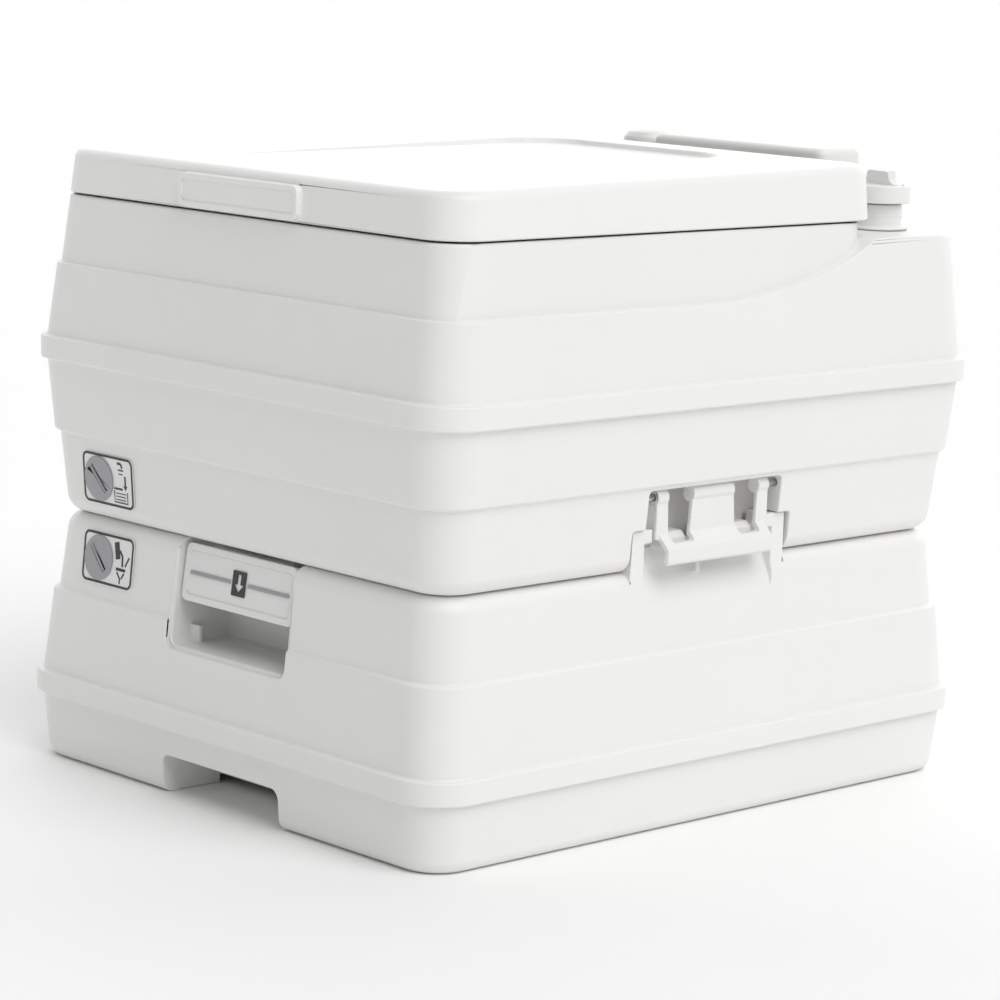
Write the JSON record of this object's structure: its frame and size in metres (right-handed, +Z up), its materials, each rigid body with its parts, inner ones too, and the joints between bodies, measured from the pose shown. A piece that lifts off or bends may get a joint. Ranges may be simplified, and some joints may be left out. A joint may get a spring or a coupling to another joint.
{
  "type": "portable toilet",
  "caption": "Free-standing portable toilet: flush-water tank with bowl, hinged seat and lid, latched onto a waste tank with a slide valve.",
  "frame": {"origin": "centre of the footprint on the floor", "axes": "+X is the left-hand side of someone sitting on it, -Y is the front with the valve handle, +Z is up"},
  "size_m": [0.3584, 0.4204, 0.36],
  "materials": {
    "tank_white": "satin moulded polyethylene with a fine grain",
    "seat_white": "smooth glossy moulded plastic",
    "trim_white": "smooth moulded plastic",
    "pale_grey": "plain moulded plastic",
    "mid_grey": "plain moulded plastic",
    "black_rubber": "matte elastomer",
    "dark_print": "printed film",
    "clear_hose": "translucent hose",
    "pin_steel": "bright drawn wire"
  },
  "bodies": {
    "waste_tank": {"waste_tank_bottom": "tank_white", "waste_tank_top": "tank_white", "valve_body": "pale_grey", "valve_seal": "black_rubber", "spout_neck": "tank_white", "waste_badge": "trim_white", "waste_level_lens": "mid_grey"},
    "valve_gate": {"valve_blade": "pale_grey", "valve_handle": "trim_white", "handle_mark": "dark_print", "handle_stripe_left": "mid_grey", "handle_stripe_right": "mid_grey"},
    "spout_cap": {"spout_cap": "mid_grey"},
    "vent_button": {"vent_button": "mid_grey"},
    "flush_unit": {"flush_tank_bottom": "tank_white", "flush_tank_top": "tank_white", "bowl": "seat_white", "flush_nozzle": "pale_grey", "fill_neck": "tank_white", "pump_housing": "tank_white", "pump_cup": "pale_grey", "pump_bellows": "black_rubber", "pump_tube": "clear_hose", "hinge_bracket_right": "tank_white", "hinge_pin_right": "pin_steel", "hinge_bracket_left": "tank_white", "hinge_pin_left": "pin_steel", "latch_pin_front_right": "pin_steel", "latch_pin_rear_right": "pin_steel", "latch_pin_front_left": "pin_steel", "latch_pin_rear_left": "pin_steel", "flush_badge": "trim_white", "flush_level_lens": "mid_grey"},
    "seat": {"seat": "seat_white", "seat_bumper_front_right": "black_rubber", "seat_bumper_rear_right": "black_rubber", "seat_bumper_front_left": "black_rubber", "seat_bumper_rear_left": "black_rubber"},
    "lid": {"lid": "seat_white"},
    "fill_cap": {"fill_cap": "trim_white", "fill_cap_seal": "black_rubber"},
    "pump_plunger": {"pump_knob": "trim_white", "pump_stem": "pale_grey"},
    "latch_right": {"latch_right": "trim_white"},
    "latch_left": {"latch_left": "trim_white"}
  },
  "joints": [
    {"name": "unit_lift", "type": "slide", "parent": "waste_tank", "child": "flush_unit", "axis": [0, 0, 1], "range_m": [0, 0.15]},
    {"name": "seat_hinge", "type": "hinge", "parent": "flush_unit", "child": "seat", "pos_m": [0, 0.138, 0.343], "axis": [1, 0, 0], "range_deg": [-100, 0]},
    {"name": "lid_hinge", "type": "hinge", "parent": "seat", "child": "lid", "pos_m": [0, 0.138, 0.343], "axis": [-1, 0, 0], "range_deg": [0, 100]},
    {"name": "valve_slide", "type": "slide", "parent": "waste_tank", "child": "valve_gate", "axis": [0, -1, 0], "range_m": [0, 0.097]},
    {"name": "pump_press", "type": "slide", "parent": "flush_unit", "child": "pump_plunger", "axis": [0, 0, -1], "range_m": [0, 0.012], "stiffness_N_per_m": 400, "deforming": ["pump_bellows"]},
    {"name": "fill_cap_turn", "type": "hinge", "parent": "flush_unit", "child": "fill_cap", "pos_m": [0.127, 0.172, 0.34], "axis": [0, 0, 1], "range_deg": [0, 90]},
    {"name": "latch_right_swing", "type": "hinge", "parent": "flush_unit", "child": "latch_right", "pos_m": [0.1635, 0, 0.1827], "axis": [0, -1, 0], "range_deg": [0, 60]},
    {"name": "latch_left_swing", "type": "hinge", "parent": "flush_unit", "child": "latch_left", "pos_m": [-0.1635, 0, 0.1827], "axis": [0, 1, 0], "range_deg": [0, 60]},
    {"name": "spout_cap_turn", "type": "hinge", "parent": "waste_tank", "child": "spout_cap", "pos_m": [-0.116, 0.19, 0.103], "axis": [0, 1, 0], "range_deg": [0, 90]},
    {"name": "vent_press", "type": "slide", "parent": "waste_tank", "child": "vent_button", "axis": [0, -1, 0], "range_m": [0, 0.004], "stiffness_N_per_m": 300}
  ]
}
